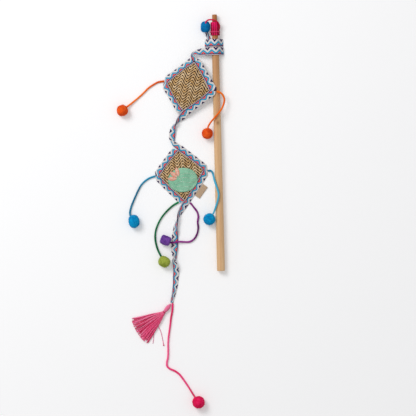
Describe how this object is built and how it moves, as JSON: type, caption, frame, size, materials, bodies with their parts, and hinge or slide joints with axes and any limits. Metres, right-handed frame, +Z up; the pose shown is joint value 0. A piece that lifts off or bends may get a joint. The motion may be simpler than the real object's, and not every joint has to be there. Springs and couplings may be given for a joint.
{
  "type": "cat teaser wand",
  "caption": "Wooden wand with a folded woven ribbon garland of two stuffed kite pads, a tassel and felt pompoms on suede laces, laid out flat.",
  "frame": {"origin": "on the surface that the toy lies on, under the middle of its outline as seen from above, the free laces and their pompoms left out", "axes": "+Y along the toy towards the dowel's tip, +X to the dowel's side, +Z up from the surface"},
  "size_m": [0.119, 0.4321, 0.0132],
  "materials": {
    "wood": "satin",
    "ribbon": "matt woven",
    "seagrass": "coarse woven",
    "canvas": "matt",
    "catnip": "loose, matt",
    "sage_felt": "felt",
    "salmon_felt": "felt",
    "cotton_tape": "matt woven",
    "pink_yarn": "soft sheen",
    "pink_suede": "suede",
    "orange_suede": "suede",
    "blue_suede": "suede",
    "green_suede": "suede",
    "purple_suede": "suede",
    "blue_felt": "felt",
    "orange_felt": "felt",
    "olive_felt": "felt",
    "purple_felt": "felt",
    "pink_felt": "felt"
  },
  "bodies": {
    "stick": {"dowel": "wood", "ribbon_wrap": "ribbon", "ribbon_run": "ribbon", "ribbon_end": "ribbon", "tip_laces": "pink_suede", "lace_binding": "pink_suede"},
    "tip_dangle": {"tip_lace": "pink_suede", "tip_pompom": "blue_felt"},
    "upper_kite": {"ribbon_lead": "ribbon", "upper_mat": "seagrass", "upper_filling": "catnip", "upper_backing": "canvas", "upper_border_left": "ribbon", "upper_border_right": "ribbon", "ribbon_link_upper": "ribbon"},
    "lower_kite": {"ribbon_link_lower": "ribbon", "lower_mat": "seagrass", "lower_filling": "catnip", "lower_backing": "canvas", "lower_border_left": "ribbon", "lower_border_right": "ribbon", "felt_patch": "sage_felt", "leaf_motif": "salmon_felt", "ribbon_tail_upper": "ribbon"},
    "tag": {"side_tag": "cotton_tape"},
    "tail": {"ribbon_tail_lower": "ribbon"},
    "tassel": {"tassel_head": "pink_yarn", "tassel_tie": "pink_yarn", "tassel_skirt": "pink_yarn", "tassel_strays": "pink_yarn"},
    "orange_left": {"orange_lace_left": "orange_suede", "orange_pompom_left": "orange_felt"},
    "orange_right": {"orange_lace_right": "orange_suede", "orange_pompom_right": "orange_felt"},
    "blue_left": {"blue_lace_left": "blue_suede", "blue_pompom_left": "blue_felt"},
    "blue_right": {"blue_lace_right": "blue_suede", "blue_pompom_right": "blue_felt"},
    "green": {"green_lace": "green_suede", "olive_pompom": "olive_felt"},
    "purple": {"purple_lace": "purple_suede", "purple_pompom": "purple_felt"},
    "pink": {"pink_lace": "pink_suede", "pink_pompom": "pink_felt"}
  },
  "joints": [
    {"name": "upper_kite_lift", "type": "hinge", "parent": "stick", "child": "upper_kite", "pos_m": [0.0164, 0.1365, 0.0055], "axis": [-1, 0, 0], "range_deg": [0, 60]},
    {"name": "lower_kite_lift", "type": "hinge", "parent": "upper_kite", "child": "lower_kite", "pos_m": [-0.002, 0.0631, 0.0052], "axis": [-1, 0, 0], "range_deg": [0, 60]},
    {"name": "tail_lift", "type": "hinge", "parent": "lower_kite", "child": "tail", "pos_m": [-0.0043, -0.0868, 0.0062], "axis": [-1, 0, 0], "range_deg": [0, 60]},
    {"name": "tassel_lift", "type": "hinge", "parent": "tail", "child": "tassel", "pos_m": [-0.0073, -0.13525, 0.0032], "axis": [-1, 0, 0], "range_deg": [0, 60]},
    {"name": "pink_lift", "type": "hinge", "parent": "tail", "child": "pink", "pos_m": [-0.0073, -0.13525, 0.0032], "axis": [-1, 0, 0], "range_deg": [0, 60]},
    {"name": "tip_lift", "type": "hinge", "parent": "stick", "child": "tip_dangle", "pos_m": [0.045, 0.1647, 0.0059], "axis": [1, 0, 0], "range_deg": [0, 60]},
    {"name": "orange_left_lift", "type": "hinge", "parent": "upper_kite", "child": "orange_left", "pos_m": [-0.0169, 0.1096, 0.0024], "axis": [-1, 0, 0], "range_deg": [0, 90]},
    {"name": "orange_right_lift", "type": "hinge", "parent": "upper_kite", "child": "orange_right", "pos_m": [0.042, 0.0982, 0.0114], "axis": [-1, 0, 0], "range_deg": [0, 90]},
    {"name": "blue_left_lift", "type": "hinge", "parent": "lower_kite", "child": "blue_left", "pos_m": [-0.0277, 0.0047, 0.0024], "axis": [-1, 0, 0], "range_deg": [0, 90]},
    {"name": "blue_right_lift", "type": "hinge", "parent": "lower_kite", "child": "blue_right", "pos_m": [0.0325, 0.0116, 0.0024], "axis": [-1, 0, 0], "range_deg": [0, 90]},
    {"name": "green_lift", "type": "hinge", "parent": "lower_kite", "child": "green", "pos_m": [-0.001, -0.0241, 0.0024], "axis": [-1, 0, 0], "range_deg": [0, 90]},
    {"name": "purple_lift", "type": "hinge", "parent": "lower_kite", "child": "purple", "pos_m": [0.013, -0.024, 0.0024], "axis": [-1, 0, 0], "range_deg": [0, 90]},
    {"name": "tag_flap", "type": "hinge", "parent": "lower_kite", "child": "tag", "pos_m": [0.02726, -0.00428, 0.001], "axis": [-0.5814, -0.8136, 0], "range_deg": [0, 60]}
  ]
}
